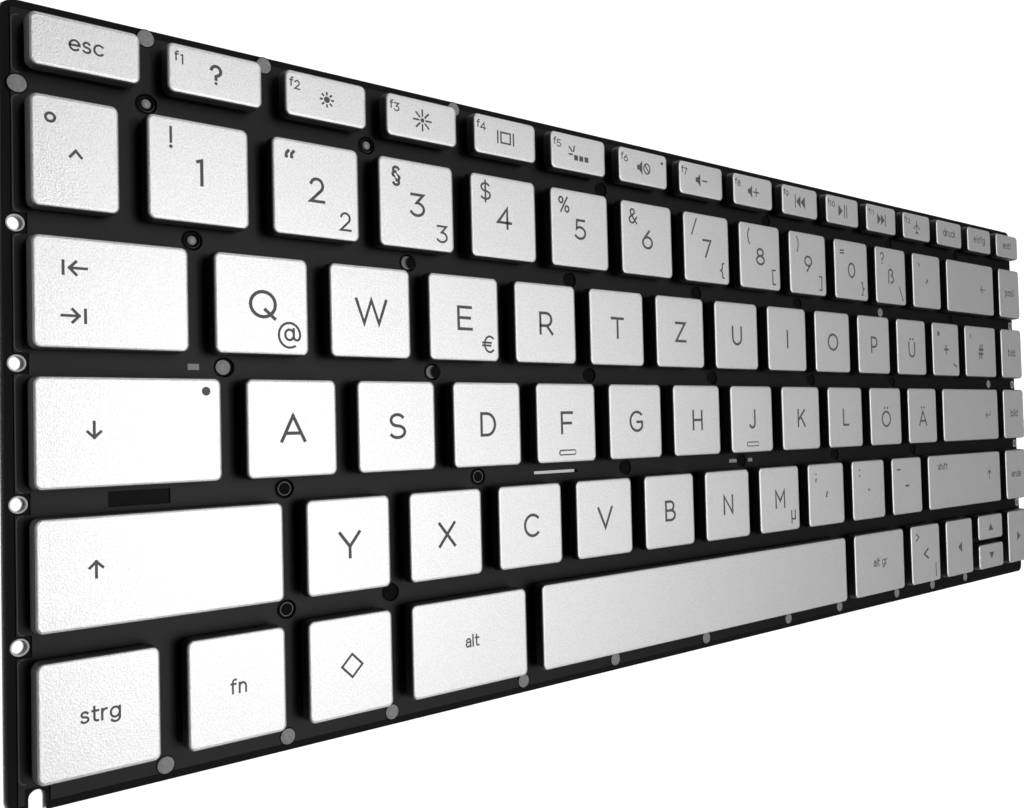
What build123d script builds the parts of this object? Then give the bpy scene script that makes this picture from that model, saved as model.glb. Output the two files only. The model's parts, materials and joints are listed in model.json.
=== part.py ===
"""A bare laptop keyboard module: a steel plate, a film circuit, scissor keys and a backlight.

Millimetres. +X runs along the rows to the right, +Y away from the user, +Z up out of the keys.
The origin is under the middle of the plate, on the face that the module rests on.
"""

import os
from math import asin, atan2, cos, degrees, radians, sin, tan

from build123d import *

# Key grid
key_pitch = 18.7
row_pitch = 18.7
key_gap = 3.65
function_depth = 7.2
bottom_row_depth = 15.75
half_key_gap = 1.35

# Widths of the keys that are not one pitch wide
caret_width = 11.4
backspace_width = 28.4
tab_width = 20.75
caps_lock_width = 25.3
left_shift_width = 34.65
control_width = 15.95
alt_width = 24.65
alt_gr_width = 23.4
arrow_width = 15.2
navigation_width = 13.7

# Keycap
cap_height = 2.0
cap_corner_radius = 1.1
cap_corner_facets = 3
cap_draft = 3.0
cap_wall = 0.8
cap_ceiling = 0.7

# Raised bar on the two homing keys
homing_bar_length = 3.9
homing_bar_width = 1.0
homing_bar_height = 0.15
homing_bar_radius = 0.45
homing_bar_inset = 1.9

# Stack under the caps
travel = 1.3
travel_reserve = 0.25
membrane_thickness = 0.25
plate_thickness = 0.4
backlight_thickness = 0.45

# Plate outline, margin holes and the locating notch
side_margin = 2.65
rear_margin = 2.4
front_margin = 4.2
plate_corner_radius = 2.0
margin_hole_diameter = 2.0
margin_hole_inset = 1.6
notch_width = 2.2
notch_length = 2.9
notch_offset = 0.9

# Cover film of the membrane circuit
membrane_inset = 1.2
membrane_hole_clearance = 0.45
film_window_length = 8.6
film_window_width = 2.2
film_window_x = 14.5
light_slot_length = 11.0
light_slot_width = 0.6

# Backlight panel and the slot for the circuit's tail
backlight_inset = 3.4
tail_slot_length = 26.0
tail_slot_width = 2.0
tail_slot_x = 58.0
tail_slot_y = 12.0

# Rubber dome and scissor links, with smaller ones for the half-depth keys
dome_sides = 6
dome_top_radius = 1.2
dome_base_radius = 2.4
half_dome_base_radius = 1.5
link_length = 8.6
link_thickness = 0.6
link_bar = 0.9
link_clearance = 0.3
seat_clearance = 0.05
support_spacing = 33.0

# Heights of the stack
plate_z = backlight_thickness
membrane_z = plate_z + plate_thickness
floor_z = membrane_z + membrane_thickness
skirt_z = floor_z + travel + travel_reserve
ceiling_z = skirt_z + cap_height - cap_ceiling

# The six rows, each a list of names and widths, with None for the key that fills the row
key_width = key_pitch - key_gap
key_depth = row_pitch - key_gap


def plain(names):
    """Name and width of keys that are one pitch wide."""
    return [(name, key_width) for name in names]


number_row = [
    ("key_caret", caret_width),
    *plain(f"key_{digit}" for digit in "1234567890"),
    *plain(["key_sharp_s", "key_acute"]),
    ("key_backspace", backspace_width),
    ("home", navigation_width),
]
upper_row = [
    ("tab", tab_width),
    *plain(f"key_{letter}" for letter in "qwertzuiop"),
    *plain(["key_umlaut_u", "key_plus"]),
    ("key_hash", None),
    ("page_up", navigation_width),
]
middle_row = [
    ("caps_lock", caps_lock_width),
    *plain(f"key_{letter}" for letter in "asdfghjkl"),
    *plain(["key_umlaut_o", "key_umlaut_a"]),
    ("key_enter", None),
    ("page_down", navigation_width),
]
lower_row = [
    ("left_shift", left_shift_width),
    *plain(f"key_{letter}" for letter in "yxcvbnm"),
    *plain(["key_comma", "key_period", "key_minus"]),
    ("right_shift", None),
    ("end", navigation_width),
]
bottom_row = [
    ("left_control", control_width),
    *plain(["fn", "system"]),
    ("alt", alt_width),
    ("key_space", None),
    ("alt_gr", alt_gr_width),
    ("key_angle", arrow_width),
    ("arrow_left", arrow_width),
    ("arrow_up_down", arrow_width),
    ("arrow_right", navigation_width),
]
field_width = sum(width for _, width in number_row) + key_gap * (len(number_row) - 1)

function_names = ["escape", *[f"f{number}" for number in range(1, 13)], "print", "insert", "delete"]
function_width = (field_width + key_gap) / len(function_names) - key_gap
function_row = [(name, function_width) for name in function_names]

rows = [
    (function_row, function_depth),
    (number_row, key_depth),
    (upper_row, key_depth),
    (middle_row, key_depth),
    (lower_row, key_depth),
    (bottom_row, bottom_row_depth),
]
field_depth = sum(depth for _, depth in rows) + key_gap * (len(rows) - 1)

# Keys that have a joint of their own start with key_, and the others share one of three nodes
function_group = "function_row_keys"
navigation_group = "navigation_keys"
modifier_group = "modifier_keys"
homing_names = ["key_f", "key_j"]
navigation_names = ["home", "page_up", "page_down", "end", "arrow_left", "arrow_up", "arrow_down", "arrow_right"]

plate_width = field_width + 2 * side_margin
plate_depth = field_depth + rear_margin + front_margin
field_left = -field_width / 2
field_rear = plate_depth / 2 - rear_margin


def node_of(name):
    """The node that a key belongs to."""
    if name.startswith("key_"):
        return name
    if name in function_names:
        return function_group
    if name in navigation_names:
        return navigation_group
    return modifier_group


def lay_out_keys():
    """Each key as name, centre x, centre y, width and depth, and the y of each gap between rows."""
    keys = []
    row_gaps = []
    rear = field_rear
    for row, depth in rows:
        left = field_left
        taken = sum(width for _, width in row if width) + key_gap * (len(row) - 1)
        for name, width in row:
            width = width or field_width - taken
            x = left + width / 2
            y = rear - depth / 2
            if name == "arrow_up_down":
                half_depth = (depth - half_key_gap) / 2
                offset = (half_depth + half_key_gap) / 2
                keys.append(("arrow_up", x, y + offset, width, half_depth))
                keys.append(("arrow_down", x, y - offset, width, half_depth))
            else:
                keys.append((name, x, y, width, depth))
            left += width + key_gap
        rear -= depth
        row_gaps.append(rear - key_gap / 2)
        rear -= key_gap
    return keys, row_gaps[:-1]


keys, row_gaps = lay_out_keys()

# The gap behind the number row has no margin holes
margin_hole_x = plate_width / 2 - margin_hole_inset
margin_holes = [(side * margin_hole_x, y) for side in (-1, 1) for y in row_gaps[1:]]


def at_margin_holes(cutter):
    """A copy of a flat shape at each margin hole."""
    return Sketch() + [Pos(x, y) * cutter for x, y in margin_holes]


def locating_notch():
    """The U notch in the front edge, near the left corner."""
    end = Circle(notch_width / 2)
    mouth = Pos(0, -notch_length / 2) * Rectangle(notch_width, notch_length)
    end_y = -plate_depth / 2 + notch_length - notch_width / 2
    return Pos(field_left + notch_offset, end_y) * (end + mouth)


def light_slot():
    """The narrow slot in front of one homing key, where the light guide shows."""
    homing_key = next(key for key in keys if key[0] == homing_names[0])
    return Pos(homing_key[1], row_gaps[3]) * Rectangle(light_slot_length, light_slot_width)


def tail_slot():
    """The slot through which the circuit's tail leaves at the back."""
    return Pos(tail_slot_x, tail_slot_y) * Rectangle(tail_slot_length, tail_slot_width)


def base_plate():
    outline = RectangleRounded(plate_width, plate_depth, plate_corner_radius)
    sheet = outline - at_margin_holes(Circle(margin_hole_diameter / 2))
    sheet = sheet - locating_notch() - light_slot() - tail_slot()
    return Pos(0, 0, plate_z) * extrude(sheet, plate_thickness)


def membrane_circuit():
    width = plate_width - 2 * membrane_inset
    depth = plate_depth - 2 * membrane_inset
    cut_out = margin_hole_diameter + 2 * membrane_hole_clearance
    window = Pos(field_left + film_window_x, row_gaps[3]) * Rectangle(film_window_length, film_window_width)
    front_cut = notch_length + membrane_hole_clearance
    notch_cut = Rectangle(notch_width + 2 * membrane_hole_clearance, front_cut)
    notch_cut = Pos(field_left + notch_offset, -plate_depth / 2 + front_cut / 2) * notch_cut
    sheet = Rectangle(width, depth) - at_margin_holes(Rectangle(cut_out, cut_out))
    sheet = sheet - notch_cut - window - light_slot()
    return Pos(0, 0, membrane_z) * extrude(sheet, membrane_thickness)


def backlight_panel():
    width = plate_width - 2 * backlight_inset
    depth = plate_depth - 2 * backlight_inset
    return extrude(Rectangle(width, depth) - tail_slot(), backlight_thickness)


def rounded_outline(width, depth, radius):
    """A rectangle whose corners are rounded in a few even facets."""
    points = []
    for corner, (right, rear) in enumerate([(1, 1), (-1, 1), (-1, -1), (1, -1)]):
        for facet in range(cap_corner_facets + 1):
            angle = radians(90 * (corner + facet / cap_corner_facets))
            x = right * (width / 2 - radius) + radius * cos(angle)
            y = rear * (depth / 2 - radius) + radius * sin(angle)
            points.append((x, y))
    return Polygon(*points, align=None)


def keycap(x, y, width, depth):
    """A moulded cap: drafted sides, rounded corners and a pocket for the dome and the links."""
    flare = cap_height * tan(radians(cap_draft))
    foot = rounded_outline(width + 2 * flare, depth + 2 * flare, cap_corner_radius + flare)
    pocket_height = cap_height - cap_ceiling
    pocket = Box(width - 2 * cap_wall, depth - 2 * cap_wall, pocket_height)
    body = extrude(foot, cap_height, taper=cap_draft) - Pos(0, 0, pocket_height / 2) * pocket
    return Pos(x, y, skirt_z) * body


def homing_cap(x, y, width, depth):
    """A cap with a raised bar near its front edge, which a finger finds by touch."""
    bar = extrude(rounded_outline(homing_bar_length, homing_bar_width, homing_bar_radius), homing_bar_height)
    bar_y = y - depth / 2 + homing_bar_inset
    return keycap(x, y, width, depth) + Pos(x, bar_y, skirt_z + cap_height) * bar


def supports(width):
    """Offsets along a key at which it has links: one place, or evenly spaced ones under a long key."""
    count = max(1, round(width / support_spacing))
    return [(index - (count - 1) / 2) * support_spacing for index in range(count)]


def is_full(depth):
    """Whether a cap's pocket is deep enough for two link frames round a large dome."""
    frames = 2 * (dome_base_radius + 2 * link_bar + 3 * link_clearance)
    return depth - 2 * cap_wall > frames


def dome_radius(depth):
    return dome_base_radius if is_full(depth) else half_dome_base_radius


def rubber_dome(x, y, depth):
    """A faceted cone from the film up to the cap's ceiling."""
    height = ceiling_z - floor_z - seat_clearance
    slope = degrees(atan2(dome_radius(depth) - dome_top_radius, height))
    return Pos(x, y, floor_z) * extrude(RegularPolygon(dome_radius(depth), dome_sides), height, taper=slope)


def scissor_link(x, y, depth, side):
    """One link of a pair that crosses at mid-height: the outer (side 1) or the inner one (side -1).

    Under a full key each is a frame round the dome, and under a half-depth key a bar beside it.
    """
    inner_half_width = dome_radius(depth) + link_clearance + link_bar
    if is_full(depth):
        half_width = inner_half_width + (link_bar + link_clearance if side > 0 else 0)
        opening = Box(link_length - 2 * link_bar, 2 * (half_width - link_bar), link_thickness)
        link = Box(link_length, 2 * half_width, link_thickness) - opening
        offset = 0
    else:
        link = Box(link_length, link_bar, link_thickness)
        offset = side * (inner_half_width - link_bar / 2)
    rise = ceiling_z - floor_z - 2 * seat_clearance - link_thickness
    tilt = degrees(asin(rise / link_length))
    return Pos(x, y + offset, (ceiling_z + floor_z) / 2) * Rot(0, side * tilt, 0) * link


os.makedirs("parts", exist_ok=True)

nodes = {
    "backlight_panel": [backlight_panel()],
    "base_plate": [base_plate()],
    "membrane_circuit": [membrane_circuit()],
    "rubber_domes": [rubber_dome(x, y, depth) for _, x, y, _, depth in keys],
    "scissor_outer_links": [
        scissor_link(x + offset, y, depth, 1) for _, x, y, width, depth in keys for offset in supports(width)
    ],
    "scissor_inner_links": [
        scissor_link(x + offset, y, depth, -1) for _, x, y, width, depth in keys for offset in supports(width)
    ],
}
for name, x, y, width, depth in keys:
    make_cap = homing_cap if name in homing_names else keycap
    nodes.setdefault(node_of(name), []).append(make_cap(x, y, width, depth))

for name, solids in nodes.items():
    export_step(solids[0] if len(solids) == 1 else Compound(children=solids), f"parts/{name}.step")

print(f"{len(nodes)} nodes, {len(keys)} keys, plate {plate_width:.2f} x {plate_depth:.2f}")
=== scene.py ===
# %% [markdown]
# # A bare laptop keyboard
# The real object is a spare part: a thin black plate with a film on it, and rows of silver keys that
# float over the film on small scissor links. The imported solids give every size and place, and this
# lesson gives them edges, paint, printed signs and light.

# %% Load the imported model
import json
import math
from collections import namedtuple

import bmesh
import bpy
from mathutils import Matrix, Vector


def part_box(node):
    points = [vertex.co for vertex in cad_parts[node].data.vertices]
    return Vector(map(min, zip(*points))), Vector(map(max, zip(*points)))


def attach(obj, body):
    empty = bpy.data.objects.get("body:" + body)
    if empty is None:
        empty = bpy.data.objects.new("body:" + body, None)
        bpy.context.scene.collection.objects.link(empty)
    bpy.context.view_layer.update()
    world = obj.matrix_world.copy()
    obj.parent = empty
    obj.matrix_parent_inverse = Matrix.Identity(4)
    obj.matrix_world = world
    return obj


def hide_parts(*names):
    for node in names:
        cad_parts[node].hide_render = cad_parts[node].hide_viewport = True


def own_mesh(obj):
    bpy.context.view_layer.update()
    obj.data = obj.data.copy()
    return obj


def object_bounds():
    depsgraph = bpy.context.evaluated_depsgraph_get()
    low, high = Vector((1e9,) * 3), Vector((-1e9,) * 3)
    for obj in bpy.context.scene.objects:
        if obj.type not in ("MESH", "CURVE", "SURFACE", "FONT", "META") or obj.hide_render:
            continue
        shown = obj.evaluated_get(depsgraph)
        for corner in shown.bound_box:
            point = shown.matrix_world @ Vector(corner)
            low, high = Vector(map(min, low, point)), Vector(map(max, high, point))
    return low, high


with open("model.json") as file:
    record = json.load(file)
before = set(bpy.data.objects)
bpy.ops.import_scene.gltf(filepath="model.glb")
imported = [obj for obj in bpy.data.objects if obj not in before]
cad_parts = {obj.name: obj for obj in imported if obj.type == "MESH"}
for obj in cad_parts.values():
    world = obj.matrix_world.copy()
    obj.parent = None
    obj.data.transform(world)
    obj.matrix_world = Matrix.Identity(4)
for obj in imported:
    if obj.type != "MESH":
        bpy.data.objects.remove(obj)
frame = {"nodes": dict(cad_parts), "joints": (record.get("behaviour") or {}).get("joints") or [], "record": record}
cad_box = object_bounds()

MM = 0.001

# %% [markdown]
# ## Writing materials as sums
# A material is a graph of nodes, and small graphs are easier to read as formulas. `Wire` stands for one
# link of that graph. Python's operators on wires add Math nodes, and one method adds any other node.


# %% A wire with arithmetic
class Wire:
    """One value of a material's node tree, which can be used in Python expressions."""

    def __init__(self, tree, socket=None):
        self.tree = tree
        self.socket = socket

    def fill(self, node, inputs):
        """Sets or links the sockets of a node."""
        for name, value in inputs.items():
            if isinstance(value, Wire):
                self.tree.links.new(value.socket, node.inputs[name])
            else:
                node.inputs[name].default_value = value

    def add(self, kind, settings=None, inputs=None, output=0):
        """A new node of any kind: its settings first, then its sockets."""
        node = self.tree.nodes.new(kind)
        for name, value in (settings or {}).items():
            setattr(node, name, value)
        self.fill(node, inputs or {})
        return Wire(self.tree, node.outputs[output])

    def math(self, operation, first, second):
        return self.add("ShaderNodeMath", {"operation": operation}, {0: first, 1: second})

    def __add__(self, other):
        return self.math("ADD", self, other)

    def __radd__(self, other):
        return self.math("ADD", other, self)

    def __sub__(self, other):
        return self.math("SUBTRACT", self, other)

    def __rmul__(self, other):
        return self.math("MULTIPLY", other, self)


# %% [markdown]
# ## Helpers for finishes
# Every finish starts as Blender's general shader. Noise tied to the piece itself gives a grain that stays
# in place when a key moves. A Mix node blends two colours, and a Bump node tilts the surface without more
# geometry, which suits grains that are far too small to model.


# %% New finish, grain, colour and bump
# A Mix node has sockets for each kind of value, and these are the ones for colours
mix_share, mix_first, mix_second, mix_result = 0, 6, 7, 2


def new_finish(name):
    """A new material with its shader, and a wire to start formulas from."""
    material = bpy.data.materials.new(name)
    material.use_nodes = True
    tree = material.node_tree
    shader = next(node for node in tree.nodes if node.type == "BSDF_PRINCIPLED")
    return material, shader, Wire(tree)


def grain(wire, size, detail=2.0):
    """Cloudy noise whose grains are about this long, fixed to the piece."""
    place = wire.add("ShaderNodeTexCoord", output="Object")
    return wire.add("ShaderNodeTexNoise", inputs={"Vector": place, "Scale": 1 / size, "Detail": detail})


def between(wire, share, first, second):
    """A colour that runs from the first to the second."""
    inputs = {mix_share: share, mix_first: (*first, 1), mix_second: (*second, 1)}
    return wire.add("ShaderNodeMix", {"data_type": "RGBA"}, inputs, mix_result)


def bump(wire, height, depth, strength=1.0):
    """A surface that rises by depth where the height is 1."""
    return wire.add("ShaderNodeBump", inputs={"Height": height, "Distance": depth, "Strength": strength})


# %% [markdown]
# ## Silver spray paint
# The caps are moulded in black and sprayed silver on top. Paint with metal flakes acts as a metal that
# scatters widely. Two sizes of noise, one for the grain of the spray and one for its flakes, change its
# colour, its gloss and its slope, so the grain shows in flat light too.


# %% Silver spray paint
spray_grain = 0.26 * MM
spray_flake = 0.09 * MM
spray_depth = 0.065 * MM


def grey(level):
    return (level, level, level)


def silver_paint():
    material, shader, wire = new_finish("silver_paint")
    coarse = grain(wire, spray_grain, 3)
    flakes = grain(wire, spray_flake, 1)
    speckle = 1.1 * coarse + 0.6 * flakes - 0.35
    wire.fill(shader, {
        "Base Color": between(wire, speckle, grey(0.62), grey(1.0)),
        "Metallic": 0.9,
        "Roughness": 0.36 + 0.12 * flakes,
        "Normal": bump(wire, coarse + 0.3 * flakes, spray_depth, 0.5),
    })
    return material


silver = silver_paint()
print("made", silver.name)

# %% [markdown]
# ## Blacks and greys
# Plastic, rubber, ink and painted steel are matt, and differ in how light they are and how much they
# shine. One function makes them all. The film is the odd one out: it mirrors the lamps as the paint does,
# but far weaker, so it is a very dark metal.


# %% Blacks and greys
def matt_finish(name, dark, light, roughness, grain_size, depth, shine=0.35):
    """A matt grey that changes a little from grain to grain, with grain size and depth in mm."""
    material, shader, wire = new_finish(name)
    share = grain(wire, grain_size * MM, 3)
    wire.fill(shader, {
        "Base Color": between(wire, share, grey(dark), grey(light)),
        "Roughness": roughness - 0.08 + 0.16 * share,
        "Normal": bump(wire, share, depth * MM, 0.5),
        "Specular IOR Level": shine,
    })
    return material


def satin_film():
    """A black sheet that mirrors the lamps as the paint does, but far weaker, also at a low angle."""
    material, shader, wire = new_finish("film_black")
    share = grain(wire, 0.2 * MM, 3)
    wire.fill(shader, {
        "Base Color": between(wire, share, grey(0.018), grey(0.026)),
        "Metallic": 0.85,
        "Specular Tint": (0.2, 0.2, 0.2, 1),
        "Roughness": 0.38 + 0.1 * share,
        "Normal": bump(wire, share, 0.008 * MM, 0.5),
    })
    return material


cap_wall = matt_finish("cap_wall", 0.03, 0.045, 0.55, 0.15, 0.01)
# This black is the sockets' own colour, and also painted shade on rivets.
stake_black_and_shade = matt_finish("stake_black_and_shade", 0.001, 0.002, 0.6, 0.15, 0.005, 0.08)
# The grey ink is the print, and also the painted shade round the homing bars.
ink_and_bar_shade = matt_finish("grey_ink_and_bar_shade", 0.045, 0.065, 0.6, 0.05, 0.003)
film_black = satin_film()
steel_black = matt_finish("steel_black", 0.003, 0.006, 0.55, 0.25, 0.01, 0.06)
milky = matt_finish("milky_sheet", 0.36, 0.44, 0.45, 1.5, 0.004)
rubber = matt_finish("dome_rubber", 0.018, 0.03, 0.7, 0.2, 0.01)
link_black = matt_finish("link_plastic", 0.015, 0.022, 0.4, 0.2, 0.006)
stake_grey = matt_finish("stake_grey", 0.07, 0.19, 0.45, 0.6, 0.03)
pin_grey = matt_finish("pin_grey", 0.09, 0.17, 0.3, 0.4, 0.02, 0.6)
eyelet_grey = matt_finish("eyelet_grey", 0.25, 0.35, 0.4, 0.3, 0.01)
collar_lip = matt_finish("collar_lip", 0.07, 0.1, 0.4, 0.2, 0.01)
# This grey is the film's raised edge line, and also painted half shade on rivets.
film_edge_and_half_shade = matt_finish("film_edge_and_half_shade", 0.025, 0.035, 0.5, 0.2, 0.01)
print("finishes:", len(bpy.data.materials))

# %% [markdown]
# ## Gathering a mesh
# Every piece here is built from rings and ribbons of corners. `Shape` gathers corners and faces, and
# remembers which finish each face has, so that one piece can be silver, black and printed at once.


# %% A shape in the making
def new_object(name, data):
    made = bpy.data.objects.new(name, data)
    bpy.context.scene.collection.objects.link(made)
    return made


class Shape:
    """Corners and faces of one piece, and the finish of each face."""

    def __init__(self):
        self.corners = []
        self.faces = []
        self.finishes = []

    def add(self, corners, faces, finishes):
        start = len(self.corners)
        self.corners.extend(corners)
        self.faces.extend([[start + index for index in face] for face in faces])
        self.finishes.extend(finishes)

    def piece(self, name, materials, body, slot, sharp_angle=35):
        """The finished object, riding on a body."""
        mesh = bpy.data.meshes.new(name)
        mesh.from_pydata(self.corners, [], self.faces)
        for material in materials:
            mesh.materials.append(material)
        mesh.polygons.foreach_set("material_index", self.finishes)
        mesh.polygons.foreach_set("use_smooth", [True] * len(self.faces))
        mesh.set_sharp_from_angle(angle=math.radians(sharp_angle))
        mesh.update()
        made = new_object(name, mesh)
        weighted = made.modifiers.new("flat faces stay flat", "WEIGHTED_NORMAL")
        weighted.keep_sharp = True
        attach(made, body)
        return made


def loft(shape, rings, finishes, wrap=False):
    """Joins rings by quads, with one finish or a list of one for each step, and closes or wraps round."""
    count = len(rings[0])
    if isinstance(finishes, int):
        finishes = [finishes] * (len(rings) if wrap else len(rings) - 1)
    faces = []
    face_finishes = []
    for step, finish in enumerate(finishes):
        low = step * count
        high = (step + 1) % len(rings) * count
        for index in range(count):
            after = (index + 1) % count
            faces.append([low + index, low + after, high + after, high + index])
            face_finishes.append(finish)
    if not wrap:
        last = (len(rings) - 1) * count
        faces.append(list(reversed(range(count))))
        faces.append(list(range(last, last + count)))
        face_finishes += [finishes[0], finishes[-1]]
    shape.add([corner for ring in rings for corner in ring], faces, face_finishes)


# %% [markdown]
# ## Finding the keys
# Typing keys have a node each, and the other caps share three nodes. The caps are read from the solids
# and sorted into rows from back to front and left to right, so that signs can be listed as they are read.

# %% The caps in reading order
Cap = namedtuple("Cap", "node body low high")
group_pieces = {
    "function_row_keys": "function_row_caps",
    "navigation_keys": "navigation_caps",
    "modifier_keys": "modifier_caps",
}


def solids_of(node):
    """The separate solids of a node as bmeshes, in the order of their first corners."""
    whole = bmesh.new()
    whole.from_mesh(frame["nodes"][node].data)
    bmesh.ops.remove_doubles(whole, verts=whole.verts, dist=1e-7)
    taken = set()
    found = []
    for seed in whole.verts:
        if seed in taken:
            continue
        island = {seed}
        edge_of_island = [seed]
        while edge_of_island:
            vertex = edge_of_island.pop()
            for edge in vertex.link_edges:
                other = edge.other_vert(vertex)
                if other not in island:
                    island.add(other)
                    edge_of_island.append(other)
        taken |= island
        solid = bmesh.new()
        ordered = sorted(island, key=lambda vertex: vertex.index)
        copies = {vertex: solid.verts.new(vertex.co) for vertex in ordered}
        island_faces = {face for vertex in island for face in vertex.link_faces}
        for face in sorted(island_faces, key=lambda face: face.index):
            solid.faces.new([copies[vertex] for vertex in face.verts])
        found.append(solid)
    return found


def box_of(solid):
    low = Vector(min(vertex.co[axis] for vertex in solid.verts) for axis in range(3))
    high = Vector(max(vertex.co[axis] for vertex in solid.verts) for axis in range(3))
    return low, high


caps = []
for body, nodes in frame["record"]["behaviour"]["bodies"].items():
    for node in nodes:
        if node.startswith("key_") or node in group_pieces:
            caps.extend(Cap(node, body, *box_of(solid)) for solid in solids_of(node))


def centre(cap):
    return (cap.low + cap.high) / 2


row_step = 10 * MM
rows = []
for cap in sorted(caps, key=lambda cap: -centre(cap).y):
    if not rows or centre(rows[-1][0]).y - centre(cap).y > row_step:
        rows.append([])
    rows[-1].append(cap)
for row in rows:
    row.sort(key=lambda cap: (round(centre(cap).x, 4), -centre(cap).y))
print("keys in each row:", [len(row) for row in rows])

# %% [markdown]
# ## One keycap
# A cap is a shallow moulded tray turned upside down. A stack of rounded rectangles, from the pocket's
# ceiling round the skirt and up to the top, gives its draft and the soft edge that catches the light.
# Paint covers the top and ends on the rounded edge.

# %% Cap sizes
plain_low, plain_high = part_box("key_q")
skirt_z = plain_low.z
cap_top = plain_high.z
print_height = 0.012 * MM
cap_face = cap_top - print_height
cap_flare = 0.105 * MM
foot_radius = 1.2 * MM
foot_edge = 0.06 * MM
least_radius = 0.1 * MM
edge_width = 0.58 * MM
edge_height = 0.4 * MM
edge_drop = 0.5 * MM
wall = 0.8 * MM
ceiling = 0.7 * MM
corner_steps = 7
edge_steps = 6
bare_edge_steps = 3
print("caps are", round((cap_face - skirt_z) / MM, 2), "mm tall")

# %% [markdown]
# ## Rings of a cap
# A rounded rectangle is four quarter circles joined by straight sides. A cap is a stack of them: the
# profile lists how far each is set in and how high it lies. Only the last steps of the rounded edge and
# the top are painted.


# %% Rounded rectangles and the cap's rings
def rounded_rectangle(low, high, inset, radius, z):
    """Corners of a rectangle with round corners, counter-clockwise."""
    middle = (low + high) / 2
    half = (high - low) / 2
    radius = max(radius, least_radius)
    ring = []
    for turn, (right, rear) in enumerate([(1, 1), (-1, 1), (-1, -1), (1, -1)]):
        for step in range(corner_steps + 1):
            angle = math.radians(90 * (turn + step / corner_steps))
            x = middle.x + right * (half.x - inset - radius) + radius * math.cos(angle)
            y = middle.y + rear * (half.y - inset - radius) + radius * math.sin(angle)
            ring.append((x, y, z))
    return ring


def add_cap(shape, cap):
    """A cap's corners and faces: finish 0 is paint and finish 1 the bare plastic."""
    tall = cap_face - skirt_z

    def drafted(z):
        return cap_flare * (z - skirt_z) / tall

    profile = [
        (wall, cap_face - ceiling),
        (wall, skirt_z),
        (foot_edge, skirt_z),
        (0.0, skirt_z + foot_edge),
        (drafted(cap_face - edge_drop), cap_face - edge_drop),
    ]
    bare_steps = len(profile) + bare_edge_steps
    edge_start = cap_face - edge_height
    for step in range(edge_steps + 1):
        angle = math.radians(90 * step / edge_steps)
        inset = drafted(edge_start) + edge_width * (1 - math.cos(angle))
        profile.append((inset, edge_start + edge_height * math.sin(angle)))
    rings = [rounded_rectangle(cap.low, cap.high, inset, foot_radius - inset, z) for inset, z in profile]
    painted_steps = len(rings) - 1 - bare_steps
    loft(shape, rings, [1] * bare_steps + [0] * painted_steps)


print("corners in a ring:", 4 * (corner_steps + 1))

# %% [markdown]
# ## Signs drawn with a pen
# The signs are a plain geometric alphabet with even strokes. Each is a list of pen paths on a grid where
# a capital is one unit high. A path becomes a thin printed slab with mitred bends, and a blot is a filled
# outline. Drawing them keeps every stroke the same width, which a scaled font would not.


# %% Pen paths to printed slabs
arc_step = 18
same_point = 0.01
least_mitre = 0.4


def arc(x, y, across, up, start, end):
    """Points along part of an oval, from one angle to another in degrees."""
    steps = max(3, round(abs(end - start) / arc_step))
    angles = [math.radians(start + (end - start) * step / steps) for step in range(steps + 1)]
    return [(x + across * math.cos(angle), y + up * math.sin(angle)) for angle in angles]


def oval(x, y, across, up):
    return arc(x, y, across, up, 0, 360)


def blot(points):
    """A filled outline, counter-clockwise."""
    return {"filled": points}


def rectangle(x, y, width, depth):
    """The corners of a rectangle from its front left one, counter-clockwise."""
    return [(x, y), (x + width, y), (x + width, y + depth), (x, y + depth)]


def dot(x, y, radius=0.09):
    return blot(oval(x, y, radius, radius)[:-1])


def add_slab(shape, outline, low, high, finish):
    """A flat filled outline with a little thickness."""
    count = len(outline)
    corners = [(x, y, low) for x, y in outline] + [(x, y, high) for x, y in outline]
    faces = [list(reversed(range(count))), list(range(count, 2 * count))]
    for index in range(count):
        after = (index + 1) % count
        faces.append([index, after, count + after, count + index])
    shape.add(corners, faces, [finish] * len(faces))


def add_stroke(shape, path, width, low, high, finish):
    """A ribbon of even width along a path, with mitred bends and square ends half a width past the path."""
    points = [Vector(path[0])]
    for point in path[1:]:
        if (Vector(point) - points[-1]).length > same_point * width:
            points.append(Vector(point))
    closed = (points[0] - points[-1]).length < same_point * width
    if closed:
        points.pop()
    else:
        points[0] += (points[0] - points[1]).normalized() * width / 2
        points[-1] += (points[-1] - points[-2]).normalized() * width / 2
    count = len(points)
    corners = []
    for index, point in enumerate(points):
        before = points[index - 1] if index or closed else None
        after = points[(index + 1) % count] if index < count - 1 or closed else None
        arrive = (point - before).normalized() if before else (after - point).normalized()
        leave = (after - point).normalized() if after else arrive
        along = (arrive + leave).normalized()
        reach = width / 2 / max(along.dot(leave), least_mitre)
        side = Vector((-along.y, along.x)) * reach
        left = point + side
        right = point - side
        for place, z in ((left, low), (right, low), (right, high), (left, high)):
            corners.append((place.x, place.y, z))
    faces = []
    for index in range(count if closed else count - 1):
        a = 4 * index
        b = 4 * ((index + 1) % count)
        faces.append([a + 3, a + 2, b + 2, b + 3])
        faces.append([a, b, b + 1, a + 1])
        faces.append([a + 3, b + 3, b, a])
        faces.append([a + 1, b + 1, b + 2, a + 2])
    if not closed:
        last = 4 * (count - 1)
        faces.append([3, 0, 1, 2])
        faces.append([last + 2, last + 1, last, last + 3])
    shape.add(corners, faces, [finish] * len(faces))


print("corners in an oval:", len(oval(0, 0, 1, 1)) - 1)

# %% [markdown]
# ## The alphabet
# The letters on the keys are geometric: straight strokes and parts of ovals. The umlauts are their plain
# letters with two dots more, so they are built from them.

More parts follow.
